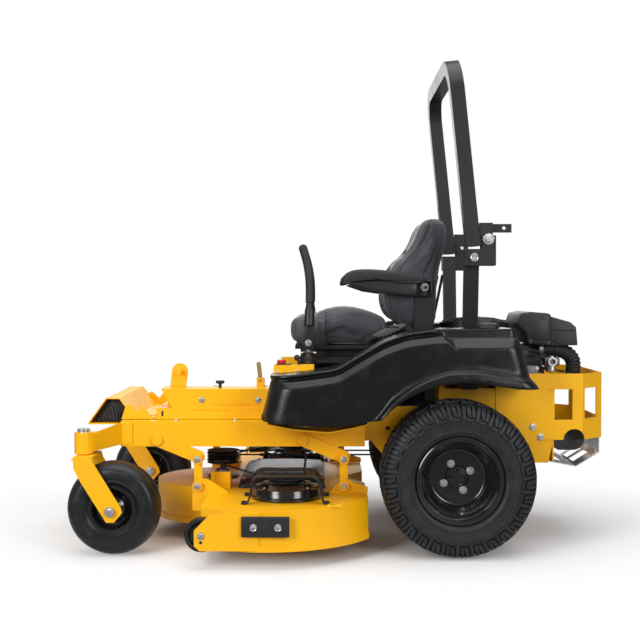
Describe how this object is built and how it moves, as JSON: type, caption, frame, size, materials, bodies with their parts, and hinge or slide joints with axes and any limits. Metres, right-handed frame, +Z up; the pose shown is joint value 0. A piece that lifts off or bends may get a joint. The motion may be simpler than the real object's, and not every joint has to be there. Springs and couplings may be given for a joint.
{
  "type": "zero turn mower",
  "caption": "Ride-on zero turn mower with roll bar, padded seat, two control levers, side tanks, rear engine and a lifting mid-mounted deck.",
  "frame": {"origin": "on the ground, at the centre of the footprint box with the discharge chute down; the machine's own centre plane is at y = +0.128 m and the rear axle at x = -0.437 m", "axes": "+X forward, +Y to the operator's left, +Z up"},
  "size_m": [2.1575, 1.8518, 1.9683],
  "materials": {
    "yellow_paint": "gloss powder coat",
    "black_plastic": "satin moulded",
    "bright_metal": "bright",
    "dark_metal": "satin",
    "tyre_rubber": "rubber",
    "seat_vinyl": "grained vinyl",
    "black_paint": "textured black powder coat",
    "soft_rubber": "matte",
    "zinc_plate": "yellow passivated zinc"
  },
  "bodies": {
    "chassis": {"main_frame": "yellow_paint", "outriggers": "yellow_paint", "floor_pan": "yellow_paint", "front_nose": "yellow_paint", "rear_frame": "yellow_paint", "engine_guard": "yellow_paint", "lower_guard": "bright_metal", "left_pod": "black_plastic", "right_pod": "black_plastic", "engine_block": "dark_metal", "engine_shroud": "black_plastic", "air_cleaner": "black_plastic", "muffler": "dark_metal", "wheel_motors": "dark_metal", "battery": "dark_metal", "seat_plate": "black_paint", "rops_posts": "black_paint", "console": "yellow_paint", "frame_bolts": "bright_metal"},
    "left_wheel": {"left_tyre": "tyre_rubber", "left_rim": "black_paint"},
    "right_wheel": {"right_tyre": "tyre_rubber", "right_rim": "black_paint"},
    "left_fork": {"left_fork": "yellow_paint"},
    "left_caster": {"left_caster_tyre": "tyre_rubber", "left_caster_rim": "black_paint"},
    "right_fork": {"right_fork": "yellow_paint"},
    "right_caster": {"right_caster_tyre": "tyre_rubber", "right_caster_rim": "black_paint"},
    "left_lever_base": {"left_lever_base": "dark_metal"},
    "left_lever": {"left_lever": "black_paint"},
    "right_lever_base": {"right_lever_base": "dark_metal"},
    "right_lever": {"right_lever": "black_paint"},
    "seat": {"seat_cushion": "seat_vinyl", "seat_back": "seat_vinyl", "seat_pan": "black_paint"},
    "left_armrest": {"left_armrest": "soft_rubber"},
    "right_armrest": {"right_armrest": "soft_rubber"},
    "rops_hoop": {"rops_hoop": "black_paint"},
    "deck": {"deck_shell": "yellow_paint", "deck_trim": "black_paint", "drive_belt": "soft_rubber"},
    "left_spindle": {"left_spindle": "dark_metal"},
    "centre_spindle": {"centre_spindle": "dark_metal"},
    "right_spindle": {"right_spindle": "dark_metal"},
    "crank_pulley": {"crank_pulley": "dark_metal"},
    "front_lift_arms": {"front_lift_arms": "yellow_paint"},
    "rear_lift_arms": {"rear_lift_arms": "yellow_paint"},
    "front_hangers": {"front_hangers": "yellow_paint"},
    "rear_hangers": {"rear_hangers": "yellow_paint"},
    "lift_pedal": {"lift_pedal": "yellow_paint"},
    "chute": {"chute": "black_plastic"},
    "left_roller": {"left_roller": "soft_rubber"},
    "right_roller": {"right_roller": "soft_rubber"},
    "brake_lever": {"brake_lever": "zinc_plate"},
    "throttle": {"throttle": "black_plastic"},
    "clutch_switch": {"clutch_switch": "black_plastic"},
    "height_knob": {"height_knob": "black_plastic"},
    "left_fuel_cap": {"left_fuel_cap": "black_plastic"},
    "right_fuel_cap": {"right_fuel_cap": "black_plastic"}
  },
  "joints": [
    {"name": "left_wheel_spin", "type": "hinge", "parent": "chassis", "child": "left_wheel", "pos_m": [-0.437, 0.619, 0.3025], "axis": [0, 1, 0], "continuous": true},
    {"name": "right_wheel_spin", "type": "hinge", "parent": "chassis", "child": "right_wheel", "pos_m": [-0.437, -0.363, 0.3025], "axis": [0, 1, 0], "continuous": true},
    {"name": "left_caster_swivel", "type": "hinge", "parent": "chassis", "child": "left_fork", "pos_m": [1.025, 0.628, 0.3], "axis": [0, 0, 1], "continuous": true},
    {"name": "left_caster_spin", "type": "hinge", "parent": "left_fork", "child": "left_caster", "pos_m": [0.905, 0.628, 0.1825], "axis": [0, 1, 0], "continuous": true},
    {"name": "left_lever_drive", "type": "hinge", "parent": "chassis", "child": "left_lever_base", "pos_m": [0.147, 0.458, 0.69], "axis": [0, 1, 0], "range_deg": [-10, 15]},
    {"name": "left_lever_swing", "type": "hinge", "parent": "left_lever_base", "child": "left_lever", "pos_m": [0.147, 0.454, 0.778], "axis": [-1, 0, 0], "range_deg": [0, 32]},
    {"name": "left_armrest_fold", "type": "hinge", "parent": "seat", "child": "left_armrest", "pos_m": [-0.335, 0.398, 1.046], "axis": [0, -1, 0], "range_deg": [0, 95]},
    {"name": "left_roller_spin", "type": "hinge", "parent": "deck", "child": "left_roller", "pos_m": [0.537, 0.88, 0.128], "axis": [0, 1, 0], "continuous": true},
    {"name": "left_cap_turn", "type": "hinge", "parent": "chassis", "child": "left_fuel_cap", "pos_m": [-0.557, 0.628, 0.89], "axis": [0, 0, 1], "range_deg": [0, 90]},
    {"name": "right_caster_swivel", "type": "hinge", "parent": "chassis", "child": "right_fork", "pos_m": [1.025, -0.372, 0.3], "axis": [0, 0, 1], "continuous": true},
    {"name": "right_caster_spin", "type": "hinge", "parent": "right_fork", "child": "right_caster", "pos_m": [0.905, -0.372, 0.1825], "axis": [0, 1, 0], "continuous": true},
    {"name": "right_lever_drive", "type": "hinge", "parent": "chassis", "child": "right_lever_base", "pos_m": [0.147, -0.202, 0.69], "axis": [0, 1, 0], "range_deg": [-10, 15]},
    {"name": "right_lever_swing", "type": "hinge", "parent": "right_lever_base", "child": "right_lever", "pos_m": [0.147, -0.198, 0.778], "axis": [1, 0, 0], "range_deg": [0, 32]},
    {"name": "right_armrest_fold", "type": "hinge", "parent": "seat", "child": "right_armrest", "pos_m": [-0.335, -0.142, 1.046], "axis": [0, -1, 0], "range_deg": [0, 95]},
    {"name": "right_roller_spin", "type": "hinge", "parent": "deck", "child": "right_roller", "pos_m": [0.537, -0.624, 0.128], "axis": [0, 1, 0], "continuous": true},
    {"name": "right_cap_turn", "type": "hinge", "parent": "chassis", "child": "right_fuel_cap", "pos_m": [-0.557, -0.372, 0.89], "axis": [0, 0, 1], "range_deg": [0, 90]},
    {"name": "seat_slide", "type": "slide", "parent": "chassis", "child": "seat", "axis": [1, 0, 0], "range_m": [-0.04, 0.03]},
    {"name": "rops_fold", "type": "hinge", "parent": "chassis", "child": "rops_hoop", "pos_m": [-0.567, 0.128, 1.235], "axis": [0, -1, 0], "range_deg": [0, 110]},
    {"name": "deck_lift", "type": "slide", "parent": "chassis", "child": "deck", "axis": [0, 0, 1], "range_m": [0, 0.09], "deforming": ["drive_belt"]},
    {"name": "front_arm_turn", "type": "hinge", "parent": "chassis", "child": "front_lift_arms", "pos_m": [0.753, 0.128, 0.43], "axis": [0, 1, 0], "range_deg": [0, 29.63]},
    {"name": "rear_arm_turn", "type": "hinge", "parent": "chassis", "child": "rear_lift_arms", "pos_m": [0.167, 0.128, 0.43], "axis": [0, 1, 0], "range_deg": [0, 29.63]},
    {"name": "front_hanger_turn", "type": "hinge", "parent": "front_lift_arms", "child": "front_hangers", "pos_m": [0.589, 0.128, 0.362], "axis": [0, 1, 0], "range_deg": [-29.63, 0]},
    {"name": "rear_hanger_turn", "type": "hinge", "parent": "rear_lift_arms", "child": "rear_hangers", "pos_m": [0.003, 0.128, 0.362], "axis": [0, 1, 0], "range_deg": [-29.63, 0]},
    {"name": "pedal_press", "type": "hinge", "parent": "chassis", "child": "lift_pedal", "pos_m": [0.713, 0.331, 0.47], "axis": [0, 1, 0], "range_deg": [0, 18]},
    {"name": "centre_spindle_spin", "type": "hinge", "parent": "deck", "child": "centre_spindle", "pos_m": [0.523, 0.128, 0.2], "axis": [0, 0, 1], "continuous": true},
    {"name": "left_spindle_spin", "type": "hinge", "parent": "deck", "child": "left_spindle", "pos_m": [0.23, 0.62, 0.2], "axis": [0, 0, 1], "continuous": true},
    {"name": "right_spindle_spin", "type": "hinge", "parent": "deck", "child": "right_spindle", "pos_m": [0.23, -0.364, 0.2], "axis": [0, 0, 1], "continuous": true},
    {"name": "crank_spin", "type": "hinge", "parent": "chassis", "child": "crank_pulley", "pos_m": [-0.572, 0.128, 0.326], "axis": [0, 0, 1], "continuous": true},
    {"name": "chute_fold", "type": "hinge", "parent": "deck", "child": "chute", "pos_m": [0.293, -0.664, 0.236], "axis": [-1, 0, 0], "range_deg": [0, 100]},
    {"name": "brake_turn", "type": "hinge", "parent": "chassis", "child": "brake_lever", "pos_m": [0.345, 0.384, 0.66], "axis": [0, 1, 0], "range_deg": [0, 35]},
    {"name": "throttle_turn", "type": "hinge", "parent": "chassis", "child": "throttle", "pos_m": [0.178, 0.543, 0.716], "axis": [0, 1, 0], "range_deg": [-20, 20]},
    {"name": "clutch_pull", "type": "slide", "parent": "chassis", "child": "clutch_switch", "axis": [0, 0, 1], "range_m": [0, 0.01]},
    {"name": "height_knob_pull", "type": "slide", "parent": "chassis", "child": "height_knob", "axis": [0, 0, 1], "range_m": [0, 0.018], "stiffness_N_per_m": 400}
  ],
  "couplings": [
    {"joint": "front_arm_turn", "follows": "deck_lift", "rad_per_m": 5.746},
    {"joint": "rear_arm_turn", "follows": "deck_lift", "rad_per_m": 5.746},
    {"joint": "front_hanger_turn", "follows": "deck_lift", "rad_per_m": -5.746},
    {"joint": "rear_hanger_turn", "follows": "deck_lift", "rad_per_m": -5.746},
    {"joint": "pedal_press", "follows": "deck_lift", "rad_per_m": 3.4907},
    {"joint": "left_spindle_spin", "follows": "centre_spindle_spin", "ratio": 1},
    {"joint": "right_spindle_spin", "follows": "centre_spindle_spin", "ratio": 1},
    {"joint": "crank_spin", "follows": "centre_spindle_spin", "ratio": 1}
  ]
}
